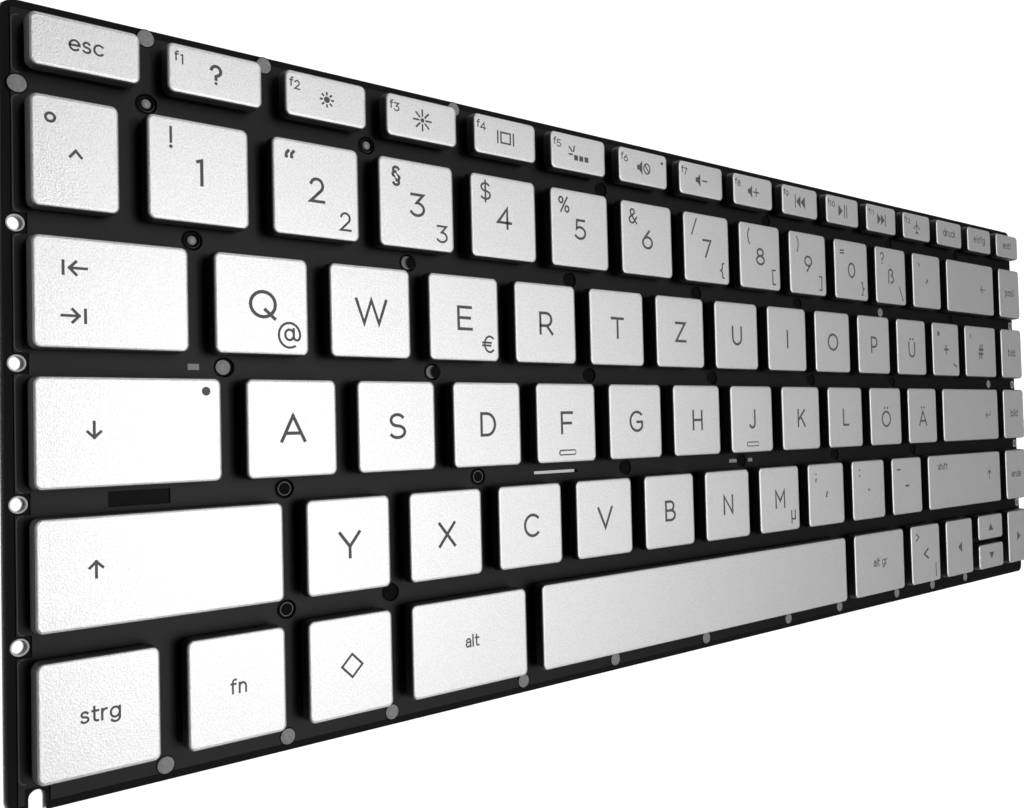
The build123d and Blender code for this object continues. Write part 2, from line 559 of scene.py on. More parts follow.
# %% Capitals
stem = [(0, 0), (0, 1)]
signs = {
    "A": [[(0, 0), (0.49, 1), (0.98, 0)], [(0.16, 0.3), (0.82, 0.3)]],
    "B": [
        [(0, 0.52), (0, 1), (0.36, 1), *arc(0.36, 0.76, 0.25, 0.24, 90, -90), (0, 0.52)],
        [(0, 0.52), (0.38, 0.52), *arc(0.4, 0.26, 0.3, 0.26, 90, -90), (0, 0), (0, 0.52)],
    ],
    "C": [arc(0.5, 0.5, 0.48, 0.5, 48, 312)],
    "D": [[(0, 0), (0, 1), (0.32, 1), *arc(0.32, 0.5, 0.46, 0.5, 90, -90), (0, 0)]],
    "E": [[(0.7, 1), (0, 1), (0, 0), (0.72, 0)], [(0, 0.51), (0.63, 0.51)]],
    "F": [[(0.68, 1), (0, 1), (0, 0)], [(0, 0.48), (0.6, 0.48)]],
    "G": [[*arc(0.5, 0.5, 0.49, 0.5, 48, 322), (0.89, 0.47), (0.53, 0.47)]],
    "H": [stem, [(0.72, 0), (0.72, 1)], [(0, 0.51), (0.72, 0.51)]],
    "I": [stem],
    "J": [[(0.48, 1), (0.48, 0.27), *arc(0.23, 0.27, 0.25, 0.27, 0, -150)]],
    "K": [stem, [(0.64, 1), (0, 0.36)], [(0.24, 0.6), (0.68, 0)]],
    "L": [[(0, 1), (0, 0), (0.56, 0)]],
    "M": [[(0, 0), (0, 1), (0.42, 0.38), (0.84, 1), (0.84, 0)]],
    "N": [[(0, 0), (0, 1), (0.74, 0), (0.74, 1)]],
    "O": [oval(0.52, 0.5, 0.52, 0.5)],
    "P": [[(0, 0), (0, 1), (0.34, 1), *arc(0.34, 0.68, 0.32, 0.32, 90, -90), (0, 0.36)]],
    "Q": [oval(0.52, 0.5, 0.52, 0.5), [(0.62, 0.28), (1.0, -0.05)]],
    "R": [
        [(0, 0), (0, 1), (0.38, 1), *arc(0.38, 0.69, 0.33, 0.31, 90, -90), (0, 0.38)],
        [(0.4, 0.38), (0.75, 0)],
    ],
    "S": [[*arc(0.37, 0.755, 0.32, 0.245, 35, 270), *arc(0.37, 0.255, 0.37, 0.255, 90, -145)]],
    "T": [[(0, 1), (0.82, 1)], [(0.41, 1), (0.41, 0)]],
    "U": [[(0, 1), (0, 0.38), *arc(0.39, 0.38, 0.39, 0.38, 180, 360), (0.78, 1)]],
    "V": [[(0, 1), (0.47, 0), (0.94, 1)]],
    "W": [[(0, 1), (0.36, 0), (0.72, 1), (1.08, 0), (1.44, 1)]],
    "X": [[(0, 0), (0.8, 1)], [(0, 1), (0.8, 0)]],
    "Y": [[(0, 1), (0.45, 0.43), (0.9, 1)], [(0.45, 0.43), (0.45, 0)]],
    "Z": [[(0, 1), (0.74, 1), (0, 0), (0.77, 0)]],
}
for plain, dotted, middle in (("A", "Ä", 0.49), ("O", "Ö", 0.52), ("U", "Ü", 0.39)):
    signs[dotted] = signs[plain] + [dot(middle - 0.18, 1.26), dot(middle + 0.18, 1.26)]
print("capitals:", len(signs))

# %% [markdown]
# ## Digits and small letters
# Words such as esc are set in small letters, which stand on the same line as the capitals and reach about
# seven tenths of their height. Most digits are widened a little, as the print on the keys is.

# %% Digits and small letters
bowl = oval(0.3, 0.35, 0.3, 0.35)
arch = [(0, 0.4), *arc(0.25, 0.42, 0.25, 0.28, 180, 0), (0.5, 0)]
signs.update({
    "0": [oval(0.34, 0.5, 0.34, 0.5)],
    "1": [[(0.1, 0.93), (0.26, 0.98), (0.26, 0)]],
    "2": [[*arc(0.31, 0.7, 0.29, 0.3, 160, -38), (0, 0), (0.64, 0)]],
    "3": [[(0.02, 1), (0.58, 1), (0.27, 0.61), *arc(0.28, 0.305, 0.33, 0.305, 85, -150)]],
    "4": [[(0.52, 0), (0.52, 1), (0, 0.27), (0.72, 0.27)]],
    "5": [[(0.56, 1), (0.1, 1), (0.06, 0.53), *arc(0.28, 0.315, 0.33, 0.315, 125, -145)]],
    "6": [oval(0.33, 0.32, 0.33, 0.32), [(0.46, 1), (0.16, 0.62), *arc(0.33, 0.32, 0.33, 0.32, 140, 180)]],
    "7": [[(0, 1), (0.6, 1), (0.18, 0)]],
    "8": [oval(0.33, 0.77, 0.26, 0.23), oval(0.33, 0.27, 0.33, 0.27)],
    "9": [oval(0.33, 0.68, 0.33, 0.32), [(0.2, 0), (0.5, 0.38), *arc(0.33, 0.68, 0.33, 0.32, -40, 0)]],
    "ß": [[
        (0, 0), (0, 0.74), *arc(0.27, 0.74, 0.27, 0.26, 180, -60),
        *arc(0.3, 0.27, 0.34, 0.27, 75, -85),
    ]],
    "a": [
        [*arc(0.25, 0.45, 0.22, 0.25, 160, 0), (0.47, 0)],
        [(0.47, 0.4), (0.21, 0.4), *arc(0.21, 0.2, 0.21, 0.2, 90, 270), (0.27, 0), (0.47, 0.15)],
    ],
    "b": [[(0, 1), (0, 0)], bowl],
    "c": [arc(0.34, 0.35, 0.33, 0.35, 48, 312)],
    "d": [[(0.6, 1), (0.6, 0)], bowl],
    "e": [[(0.01, 0.36), (0.65, 0.36), *arc(0.33, 0.35, 0.32, 0.35, 10, 312)]],
    "f": [[*arc(0.3, 0.78, 0.19, 0.22, 70, 180), (0.11, 0)], [(0, 0.68), (0.32, 0.68)]],
    "g": [oval(0.3, 0.36, 0.3, 0.34), [(0.6, 0.7), (0.6, -0.02), *arc(0.31, -0.02, 0.29, 0.27, 0, -150)]],
    "h": [stem, arch],
    "i": [[(0, 0), (0, 0.7)], dot(0, 0.96)],
    "k": [stem, [(0.42, 0.7), (0, 0.27)], [(0.14, 0.42), (0.46, 0)]],
    "l": [stem],
    "n": [[(0, 0), (0, 0.7)], arch],
    "o": [oval(0.34, 0.35, 0.34, 0.35)],
    "p": [[(0, 0.7), (0, -0.3)], bowl],
    "r": [[(0, 0), (0, 0.7)], [(0, 0.38), *arc(0.25, 0.42, 0.25, 0.28, 180, 80)]],
    "s": [[*arc(0.23, 0.53, 0.2, 0.17, 30, 270), *arc(0.23, 0.18, 0.23, 0.18, 90, -150)]],
    "t": [[(0.12, 0.95), (0.12, 0.2), *arc(0.3, 0.18, 0.18, 0.18, 180, 285)], [(0, 0.68), (0.36, 0.68)]],
    "u": [
        [(0, 0.7), (0, 0.26), *arc(0.25, 0.26, 0.25, 0.26, 180, 360), (0.5, 0.7)],
        [(0.5, 0.3), (0.5, 0)],
    ],
    " ": [],
})

digit_widening = 1.16
for digit in "03456789":
    signs[digit] = [[(digit_widening * x, y) for x, y in stroke] for stroke in signs[digit]]
print("with digits and small letters:", len(signs))

# %% [markdown]
# ## Punctuation
# The upper and lower corners of many keys carry a second sign. They use the same pen paths as the letters,
# and short ones keep the height at which they are written. Closing brackets mirror the opening ones.

# %% Punctuation
signs.update({
    "°": [oval(0.2, 0.8, 0.2, 0.2)],
    "^": [[(0, 0.55), (0.24, 0.84), (0.48, 0.55)]],
    "!": [[(0, 0.27), (0, 1)], dot(0, 0.03)],
    "“": [
        [(0.2, 1.06), (0.08, 0.92), (0.06, 0.76)],
        dot(0.09, 0.74, 0.1),
        [(0.52, 1.06), (0.4, 0.92), (0.38, 0.76)],
        dot(0.41, 0.74, 0.1),
    ],
    "§": [
        [*arc(0.3, 0.88, 0.2, 0.17, 25, 220), (0.48, 0.52), *arc(0.34, 0.4, 0.19, 0.17, 50, -90)],
        [*arc(0.3, 0.12, 0.2, 0.17, 205, 400), (0.12, 0.48), *arc(0.26, 0.6, 0.19, 0.17, 230, 90)],
    ],
    "$": [*signs["S"], [(0.37, -0.16), (0.37, 1.16)]],
    "%": [oval(0.17, 0.79, 0.17, 0.2), oval(0.7, 0.21, 0.17, 0.2), [(0.14, 0), (0.73, 1)]],
    "&": [[
        (0.74, 0), (0.17, 0.66), *arc(0.33, 0.8, 0.2, 0.2, 210, -30), (0.14, 0.44),
        *arc(0.28, 0.25, 0.27, 0.25, 125, 325), (0.74, 0.44),
    ]],
    "/": [[(0, -0.1), (0.56, 1.1)]],
    "(": [arc(0.6, 0.5, 0.6, 0.85, 135, 225)],
    "=": [[(0, 0.38), (0.52, 0.38)], [(0, 0.62), (0.52, 0.62)]],
    "?": [[*arc(0.28, 0.73, 0.27, 0.27, 165, -50), (0.27, 0.42), (0.27, 0.27)], dot(0.27, 0.03)],
    "{": [[
        (0.42, 1.08), (0.25, 1.02), (0.22, 0.62), (0.02, 0.5), (0.22, 0.38), (0.25, -0.02), (0.42, -0.08),
    ]],
    "[": [[(0.34, 1.08), (0, 1.08), (0, -0.08), (0.34, -0.08)]],
    "´": [[(0, 0.76), (0.18, 1)]],
    "@": [
        oval(0.5, 0.47, 0.2, 0.23),
        [
            (0.7, 0.72), (0.7, 0.38), *arc(0.84, 0.38, 0.14, 0.14, 180, 350),
            *arc(0.5, 0.45, 0.5, 0.54, 0, 298),
        ],
    ],
    "€": [arc(0.5, 0.5, 0.4, 0.5, 50, 310), [(-0.04, 0.6), (0.6, 0.6)], [(-0.04, 0.42), (0.56, 0.42)]],
    "+": [[(0, 0.5), (0.56, 0.5)], [(0.28, 0.22), (0.28, 0.78)]],
    "*": [[(0.2, 0.6), (0.2, 1)], [(0.03, 0.7), (0.37, 0.9)], [(0.03, 0.9), (0.37, 0.7)]],
    "~": [[*arc(0.15, 0.46, 0.15, 0.12, 180, 0), *arc(0.45, 0.46, 0.15, 0.12, 180, 360)]],
    "#": [
        [(0.14, 0), (0.28, 1)],
        [(0.44, 0), (0.58, 1)],
        [(0, 0.33), (0.66, 0.33)],
        [(0.06, 0.67), (0.72, 0.67)],
    ],
    "'": [[(0, 0.7), (0, 1)]],
    "µ": [
        [(0, -0.3), (0, 0.7)],
        [(0, 0.26), *arc(0.24, 0.24, 0.24, 0.24, 180, 360), (0.48, 0.7)],
        [(0.48, 0.3), (0.48, 0)],
    ],
    ",": [[(0.08, 0.1), (0, -0.16)]],
    ";": [[(0.08, 0.1), (0, -0.16)], dot(0.08, 0.58)],
    ".": [dot(0, 0.05)],
    ":": [dot(0, 0.05), dot(0, 0.58)],
    "-": [[(0, 0.42), (0.4, 0.42)]],
    "_": [[(0, 0), (0.56, 0)]],
    "<": [[(0.52, 0.82), (0, 0.5), (0.52, 0.18)]],
    "|": [[(0, -0.1), (0, 1.1)]],
})
for plain, mirrored in zip("([{</´", ")]}>\\`"):
    signs[mirrored] = [[(-x, y) for x, y in stroke] for stroke in signs[plain]]
print("with punctuation:", len(signs))

# %% [markdown]
# ## Pictures
# Function keys carry small pictures, and wide keys arrows. One arrow turned by quarter turns gives them
# all. The number after each f is set a little lower than the letter, as on the keys.


# %% Pictures for the wide and the function keys
ray_count = 8
last_function_key = 12
label_start = 0.58
label_step = 0.82
label_drop = 0.3


def turned(paths, quarter_turns):
    """Paths turned about the middle of the unit square."""
    spin = Matrix.Rotation(math.radians(90 * quarter_turns), 2)
    half = Vector((0.5, 0.5))
    return [[tuple(half + spin @ (Vector(point) - half)) for point in path] for path in paths]


def sun(inner, outer, core):
    """A disc with rays all round."""
    rays = []
    for turn in range(ray_count):
        angle = 2 * math.pi * turn / ray_count
        ray = Vector((math.cos(angle), math.sin(angle)))
        rays.append([tuple(ray * inner), tuple(ray * outer)])
    return [blot(oval(0, 0, core, core)[:-1]), *rays]


arrow = [[(1.15, 0.5), (-0.12, 0.5)], [(0.36, 1), (-0.12, 0.5), (0.36, 0)]]
speaker = blot([(0, 0.33), (0.2, 0.33), (0.5, 0.02), (0.5, 0.98), (0.2, 0.67), (0, 0.67)])
forward = blot([(0, 0), (0.6, 0.5), (0, 1)])
signs.update({
    "arrow_left": arrow,
    "arrow_down": turned(arrow, 1),
    "arrow_up": turned(arrow, 3),
    "bar_arrow_left": [[(-0.58, 0), (-0.58, 1)], *arrow],
    "arrow_right_bar": [*turned(arrow, 2), [(1.58, 0), (1.58, 1)]],
    "arrow_return": [[(1.3, 1), (1.3, 0.4), (-0.12, 0.4)], [(0.26, 0.8), (-0.12, 0.4), (0.26, 0)]],
    "wedge_left": [blot([(0.7, 0), (0.7, 1), (0, 0.5)])],
    "wedge_right": [blot([(0, 0), (0.7, 0.5), (0, 1)])],
    "wedge_up": [blot([(0, 0.15), (1, 0.15), (0.5, 0.85)])],
    "wedge_down": [blot([(0, 0.85), (0.5, 0.15), (1, 0.85)])],
    "sun_dim": sun(0.4, 0.5, 0.24),
    "sun_bright": sun(0.34, 0.76, 0.17),
    "screen": [
        [(0.28, 0.08), (1.12, 0.08), (1.12, 0.82), (0.28, 0.82), (0.28, 0.08)],
        [(0, 0.05), (0, 0.85)],
        [(1.4, 0.05), (1.4, 0.85)],
    ],
    "key_light": [
        *[blot(rectangle(x, 0, 0.34, 0.34)) for x in (0.42, 0.88, 1.34)],
        [(0, 0.34), (0.26, 0.34)],
        [(0.02, 0.8), (0.26, 0.56)],
        [(0.46, 0.9), (0.4, 0.58)],
    ],
    "sound_off": [speaker, oval(0.95, 0.5, 0.3, 0.34), [(0.74, 0.74), (1.16, 0.26)]],
    "sound_less": [speaker, [(0.75, 0.5), (1.25, 0.5)]],
    "sound_more": [speaker, [(0.7, 0.5), (1.3, 0.5)], [(1.0, 0.2), (1.0, 0.8)]],
    "track_back": [
        [(0, 0), (0, 1)],
        blot([(0.7, 0), (0.7, 1), (0.12, 0.5)]),
        blot([(1.3, 0), (1.3, 1), (0.72, 0.5)]),
    ],
    "track_play": [forward, [(0.9, 0), (0.9, 1)], [(1.25, 0), (1.25, 1)]],
    "track_next": [
        blot([(0, 0), (0.58, 0.5), (0, 1)]),
        blot([(0.6, 0), (1.18, 0.5), (0.6, 1)]),
        [(1.3, 0), (1.3, 1)],
    ],
    "plane": [
        [(0.5, 1.1), (0.5, -0.1)],
        [(-0.05, 0.35), (0.5, 0.72), (1.05, 0.35)],
        [(0.25, -0.1), (0.5, 0.08), (0.75, -0.1)],
    ],
    "diamond": [[(0.5, 1), (0, 0.5), (0.5, 0), (1, 0.5), (0.5, 1)]],
    "lamp": [dot(0.5, 0.5, 0.5)],
})
for number in range(1, last_function_key + 1):
    label = list(signs["f"])
    reach = label_start
    for digit in str(number):
        for stroke in signs[digit]:
            label.append([(reach + x, y - label_drop) for x, y in stroke])
        reach += label_step
    signs[f"f{number}"] = label
print("signs drawn:", len(signs))

# %% [markdown]
# ## Which sign goes where
# Each key is written as its main sign, then the sign at its upper left, then the one at its lower right.
# A dot leaves a place empty. The rows follow the reading order of the caps.

# %% Signs by row
no_sign = "·"
sign_rows = [
    "esc ? sun_dim sun_bright screen key_light sound_off sound_less sound_more"
    " track_back track_play track_next plane druck einfg entf",
    "^,° 1,! 2,“,2 3,§,3 4,$ 5,% 6,& 7,/,{ 8,(,[ 9,),] 0,=,} ß,?,\\ ´,` arrow_left pos1",
    "tab Q,·,@ W E,·,€ R T Z U I O P Ü +,*,~ #,' bild",
    "caps A S D F G H J K L Ö Ä arrow_return bild",
    "shift Y X C V B N M,·,µ comma .,: -,_ shift_right ende",
    "strg fn diamond alt · alt_gr <,>,| wedge_left wedge_up wedge_down wedge_right",
]
Mark = namedtuple("Mark", "sign x y height pen")
capital_height = 4.35 * MM
digit_height = 4.05 * MM
side_height = 3.2 * MM
low_digit_height = 3.1 * MM
picture_height = 3.3 * MM
word_height = 2.25 * MM
label_height = 1.5 * MM
main_pen = 0.53 * MM
digit_pen = 0.49 * MM
side_pen = 0.37 * MM
bold_pen = 0.47 * MM
word_pen = 0.3 * MM
picture_pen = 0.32 * MM
arrow_pen = 0.38 * MM
label_pen = 0.22 * MM
side_x = 3.5 * MM
side_y = 3.2 * MM
quote_shift = 0.5 * MM


def placed(cap, across, up):
    """A point on a cap's top, as shares of its width and depth."""
    return cap.low.x + across * (cap.high.x - cap.low.x), cap.low.y + up * (cap.high.y - cap.low.y)


special_marks = {
    "tab": [
        ("bar_arrow_left", 0.263, 0.715, 2.08, arrow_pen),
        ("arrow_right_bar", 0.253, 0.295, 2.08, arrow_pen),
    ],
    "caps": [("arrow_down", 0.302, 0.52, 2.03, arrow_pen), ("lamp", 0.905, 0.867, 1.6, picture_pen)],
    "shift": [("arrow_up", 0.222, 0.52, 2.03, arrow_pen)],
    "shift_right": [("arrow_up", 0.83, 0.55, 2.35, picture_pen), ("shift", 0.19, 0.77, 2.0, word_pen)],
    "arrow_left": [("arrow_left", 0.75, 0.5, 2.2, word_pen)],
    "arrow_return": [("arrow_return", 0.8, 0.5, 2.2, word_pen)],
    "sound_off": [("sound_off", 0.5, 0.5, 3.3, word_pen), ("lamp", 0.88, 0.74, 1.0, picture_pen)],
    "comma": [(",", 0.5, 0.5, 4.1, main_pen), (";", 0.22, 0.78, 2.75, side_pen)],
}
print("keys with signs:", sum(len(entries.split()) for entries in sign_rows))

# %% [markdown]
# ## Where each mark is printed
# A main sign sits in the middle, and its size follows from what it is: a word, a picture, a digit or a
# letter. A few have a size of their own, read from the photograph. Side signs keep a fixed distance from
# the cap's edges, so they line up along a row.

# %% The marks of one cap
own_sizes = {
    "^": (3.25, side_pen),
    "?": (3.1, bold_pen),
    "diamond": (4.0, side_pen),
    "sun_dim": (2.5, picture_pen),
    "sun_bright": (2.6, picture_pen),
    "screen": (2.9, picture_pen),
}
first_letter_row = 2
side_share = 0.23
low_inset = 2.7 * MM
at_height = 3.9 * MM
at_inset = 3.4 * MM
label_across = 0.125
long_label_across = 0.165
label_up = 0.71


def main_size(main, row):
    """How tall a main sign is, and its pen."""
    if main in own_sizes:
        height, pen = own_sizes[main]
        return height * MM, pen
    if main not in signs:
        return word_height, word_pen
    if len(main) > 1:
        return picture_height, picture_pen
    if row < first_letter_row:
        return digit_height, digit_pen
    return capital_height, main_pen


def marks_of(cap, entry, row, column):
    """Where each sign of a cap is printed, how tall and with what pen."""
    marks = []
    parts = entry.split(",")
    main = parts[0].replace("alt_gr", "alt gr")
    if main in special_marks:
        for sign, across, up, height, pen in special_marks[main]:
            marks.append(Mark(sign, *placed(cap, across, up), height * MM, pen))
    elif main != no_sign:
        marks.append(Mark(main, *placed(cap, 0.5, 0.5), *main_size(main, row)))
    if len(parts) > 1 and parts[1] != no_sign:
        x = cap.low.x + min(side_x, side_share * (cap.high.x - cap.low.x))
        shift = quote_shift if parts[1] == "“" else 0
        pen = bold_pen if parts[1] in "“§" else side_pen
        marks.append(Mark(parts[1], x - shift, cap.high.y - side_y + shift, side_height, pen))
    if len(parts) > 2:
        height = low_digit_height if parts[2].isdigit() else side_height
        inset = low_inset
        if parts[2] == "@":
            height = at_height
            inset = at_inset
        marks.append(Mark(parts[2], cap.high.x - inset, cap.low.y + side_y, height, side_pen))
    if row == 0 and 0 < column <= last_function_key:
        across = label_across if column < 10 else long_label_across
        marks.append(Mark(f"f{column}", *placed(cap, across, label_up), label_height, label_pen))
    return marks


print("marks of one key:", [mark.sign for mark in marks_of(rows[1][2], sign_rows[1].split()[2], 1, 2)])

# %% [markdown]
# ## Printing a mark
# Ink lies a hair above the paint. Where two strokes of a sign cross, slabs of one height would flicker, so
# each stroke lies a fraction lower than the one before.

# %% Printing a mark
letter_gap = 0.27
layer_step = 0.0007 * MM
word_middle = 0.35


def path_points(path):
    return path["filled"] if isinstance(path, dict) else path


def print_mark(shape, mark, finish):
    """Lays out a mark's letters round its place and adds their slabs."""
    letters = [mark.sign] if mark.sign in signs else list(mark.sign)
    scale = mark.height - mark.pen
    placed_paths = []
    reach = 0
    for letter in letters:
        points = [point for path in signs[letter] for point in path_points(path)]
        left = min((point[0] for point in points), default=0)
        right = max((point[0] for point in points), default=0.1)
        placed_paths.extend((path, reach - left) for path in signs[letter])
        reach += right - left + letter_gap
    reach -= letter_gap
    heights = [point[1] for path, _ in placed_paths for point in path_points(path)]
    middle = word_middle if len(letters) > 1 else (min(heights) + max(heights)) / 2
    for layer, (path, shift) in enumerate(placed_paths):
        top = cap_top - layer * layer_step
        points = []
        for x, y in path_points(path):
            points.append((mark.x + scale * (x + shift - reach / 2), mark.y + scale * (y - middle)))
        if isinstance(path, dict):
            add_slab(shape, points, cap_face - print_height, top, finish)
        else:
            add_stroke(shape, points, mark.pen, cap_face - print_height, top, finish)


# %% [markdown]
# ## Building the caps
# Each typing key is its own piece, so that it can travel. The caps that share a node stay one piece. The
# two homing keys have a raised bar near their front edge, ringed with ink as painted shade.

# %% Caps with their signs
homing_keys = ["key_f", "key_j"]
bar_length = 3.9 * MM
bar_width = 0.7 * MM
bar_inset = 2.0 * MM
bar_edge = 0.12 * MM
bar_shade_width = 0.2 * MM


def add_homing_bar(shape, cap):
    middle = Vector((centre(cap).x, cap.low.y + bar_inset, 0))
    half = Vector((bar_length / 2, bar_width / 2, 0))
    bar_top = cap.high.z
    low = middle - half
    high = middle + half
    profile = [
        (0.0, cap_face - bar_edge),
        (0.0, bar_top - bar_edge),
        (bar_edge / 3, bar_top - bar_edge / 3),
        (bar_edge, bar_top),
    ]
    rings = [rounded_rectangle(low, high, inset, bar_width / 2 - inset, z) for inset, z in profile]
    loft(shape, rings, 0)
    # The ink ring round the bar is painted shade: a dark outline where the bar meets the top.
    shade_ring = rounded_rectangle(low, high, -bar_shade_width / 2, bar_width / 2, 0)
    outline = [(x, y) for x, y, _ in shade_ring]
    add_stroke(shape, outline + outline[:1], bar_shade_width, cap_face - print_height, cap_top, 2)


cap_shapes = {}
for row_number, (row, entries) in enumerate(zip(rows, sign_rows)):
    for column, (cap, entry) in enumerate(zip(row, entries.split())):
        shape = cap_shapes.setdefault(cap.node, Shape())
        add_cap(shape, cap)
        if cap.node in homing_keys:
            add_homing_bar(shape, cap)
        for mark in marks_of(cap, entry, row_number, column):
            print_mark(shape, mark, 2)

body_of_node = {cap.node: cap.body for cap in caps}
for node, shape in cap_shapes.items():
    name = group_pieces.get(node, f"{node}_cap")
    piece = shape.piece(name, [silver, cap_wall, ink_and_bar_shade], body_of_node[node], "silver_caps")
    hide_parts(node)
print("cap pieces:", len(cap_shapes), "faces:", sum(len(shape.faces) for shape in cap_shapes.values()))

# %% [markdown]
# ## What lifts the keys
# Under each cap a rubber dome pushes up, and two crossed links keep the cap level. They hardly show, but
# they flatten when a key goes down, so each key has a piece of its own with a mesh of its own.

# %% Domes and links
film_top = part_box("membrane_circuit")[1].z
dome_top_radius = 1.15 * MM
dome_steps = 18
dome_profile = [(1.0, 0.0), (1.0, 0.05), (0.6, 0.1), (0.48, 0.4), (0.28, 0.62), (0.02, 0.72), (0.0, 0.98)]
link_edge = 0.1 * MM


def circle(x, y, radius, z, steps):
    """A ring of corners round a point."""
    angles = [2 * math.pi * step / steps for step in range(steps)]
    return [(x + radius * math.cos(angle), y + radius * math.sin(angle), z) for angle in angles]


def add_dome(shape, solid):
    low, high = box_of(solid)
    middle = (low + high) / 2
    base = (high.x - low.x) / 2
    rings = []
    for share, up in dome_profile:
        radius = dome_top_radius + (base - dome_top_radius) * share
        rings.append(circle(middle.x, middle.y, radius, low.z + up * (high.z - low.z), dome_steps))
    loft(shape, rings, 0)


def add_link(shape, solid):
    """The link's solid with its long edges softened."""
    bmesh.ops.dissolve_limit(solid, angle_limit=0.01, verts=solid.verts, edges=solid.edges)
    bmesh.ops.bevel(solid, geom=solid.edges, offset=link_edge, segments=1, affect="EDGES")
    solid.verts.index_update()
    corners = [tuple(vertex.co) for vertex in solid.verts]
    faces = [[vertex.index for vertex in face.verts] for face in solid.faces]
    shape.add(corners, faces, [1] * len(faces))


def owner(solid):
    """The cap above a solid."""
    low, high = box_of(solid)
    spot = (low + high) / 2
    for cap in caps:
        if cap.low.x < spot.x < cap.high.x and cap.low.y < spot.y < cap.high.y:
            return cap


lift_shapes = {}
lift_parts = {"rubber_domes": add_dome, "scissor_outer_links": add_link, "scissor_inner_links": add_link}
for node, add_part in lift_parts.items():
    for solid in solids_of(node):
        add_part(lift_shapes.setdefault(owner(solid).body, Shape()), solid)
joint_of_body = {joint["child"]: joint["name"] for joint in frame["joints"]}
for body, shape in lift_shapes.items():
    name = f"{body}_lift" if body in joint_of_body else "still_lifts"
    piece = shape.piece(name, [rubber, link_black], "base", "link_plastic")
    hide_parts("rubber_domes", "scissor_outer_links", "scissor_inner_links")
    if body in joint_of_body:
        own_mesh(piece)

# %% [markdown]
# ## Stakes in the gaps
# The film and the plate are held together by stakes where gaps between keys cross. Some sit in a round
# collar, and some are flat grey heads. Their places follow from the gaps of the key rows.


# %% Gaps between keys and rows
def gap_after(row_number, column):
    """The middle of the gap to the right of a key."""
    row = rows[row_number]
    return (row[column].high.x + row[column + 1].low.x) / 2


def gap_below(row_number):
    """The middle of the gap in front of a row."""
    front = min(cap.low.y for cap in rows[row_number])
    rear = max(cap.high.y for cap in rows[row_number + 1])
    return (front + rear) / 2


stakes = Shape()


def add_turned(x, y, profile, finishes, steps=28, wrap=False):
    """A small turned part, from radii and heights over the film in mm, solid or round a bore."""
    rings = [circle(x, y, radius * MM, film_top + up * MM, steps) for radius, up in profile]
    loft(stakes, rings, finishes, wrap)


print("gap in front of the digits:", round(gap_below(1) / MM, 2), "mm from the middle")

# %% [markdown]
# ## Profiles of the stakes
# A stake is a turned part, so a short list of radii and heights gives its section. Its steps have finishes
# of their own, because a dark socket only shows by the lip that catches the light.

# %% Profiles of the stakes
GREY, BLACK_AND_SHADE, BUSH, PIN, LIP, EDGE_AND_HALF_SHADE = range(6)
collar_profile = [
    (1.62, -0.05), (1.62, 0.04), (1.54, 0.22), (1.44, 0.26), (1.34, 0.2), (1.28, 0.02), (0.5, 0.01),
]
collar_finishes = [BLACK_AND_SHADE, LIP, BLACK_AND_SHADE, BLACK_AND_SHADE, BLACK_AND_SHADE, BLACK_AND_SHADE]
ridge_profile = [(1.1, 0.0), (1.02, 0.18), (0.94, 0.22), (0.86, 0.16), (0.84, 0.02)]
ridge_finishes = [LIP, BLACK_AND_SHADE, BLACK_AND_SHADE, BLACK_AND_SHADE]
ring_profile = [(1.12, 0.0), (1.1, 0.18), (1.03, 0.24), (0.95, 0.22), (0.89, 0.03)]
ring_finishes = [LIP, LIP, LIP, BLACK_AND_SHADE]
pin_profile = [(0.7, 0.0), (0.68, 0.24), (0.55, 0.36), (0.32, 0.43), (0.1, 0.45)]
disc_profile = [(1.12, 0.0), (1.12, 0.28), (1.04, 0.31), (0.3, 0.31)]
shade_profile = [(1.05, 0.0), (1.05, 0.32), (0.98, 0.34), (0.3, 0.34)]
rim_profile = [(1.36, -0.05), (1.36, 0.03), (1.3, 0.05), (0.5, 0.05)]
head_profile = [(1.2, 0.0), (1.2, 0.08), (1.13, 0.11), (0.3, 0.11)]
disc_shift = 0.3 * MM
shade_shift = 0.52 * MM
print("a collar is", 2 * collar_profile[0][0], "mm wide")

# %% [markdown]
# ## Placing the stakes
# Each kind of stake is a small function, and a string for each gap says which kind stands after which key.
# A full stop leaves a crossing bare.

# %% Placing the stakes
rear_offset = 0.9 * MM
front_offset = 1.9 * MM
front_shift = 0.2 * MM
left_offset = 0.6 * MM
lone_shift = 0.3 * MM
digit_gap_shift = 0.4 * MM


def collar(x, y):
    """A dark socket whose outer wall catches a little light."""
    add_turned(x, y, collar_profile, collar_finishes)


def pin_in_collar(x, y):
    collar(x, y)
    add_turned(x, y, ridge_profile, ridge_finishes)
    add_turned(x - disc_shift / 2, y, pin_profile, PIN, 20)


def hollow_pin(x, y):
    collar(x, y)
    add_turned(x - disc_shift / 3, y, ring_profile, ring_finishes, 16)


def rivet(x, y, finish=GREY):
    """A flat rivet set to the left in its black socket, so a crescent of black at its right stands as painted
    shade of the inner wall.
    """
    collar(x, y)
    add_turned(x - disc_shift, y, disc_profile, finish)


def shaded_rivet(x, y):
    """A rivet with painted shade over its right half: a mid-grey disc, then a black one."""
    rivet(x, y, LIP)
    # Painted shade: two discs darken the rivet in steps towards its right.
    for shift, rise, finish in ((0.5, 0.0, EDGE_AND_HALF_SHADE), (1.0, 0.02, BLACK_AND_SHADE)):
        profile = [(radius, up + rise) for radius, up in shade_profile]
        add_turned(x + shift * shade_shift, y, profile, finish)


def head(x, y):
    add_turned(x, y, rim_profile, BLACK_AND_SHADE)
    add_turned(x, y, head_profile, GREY)


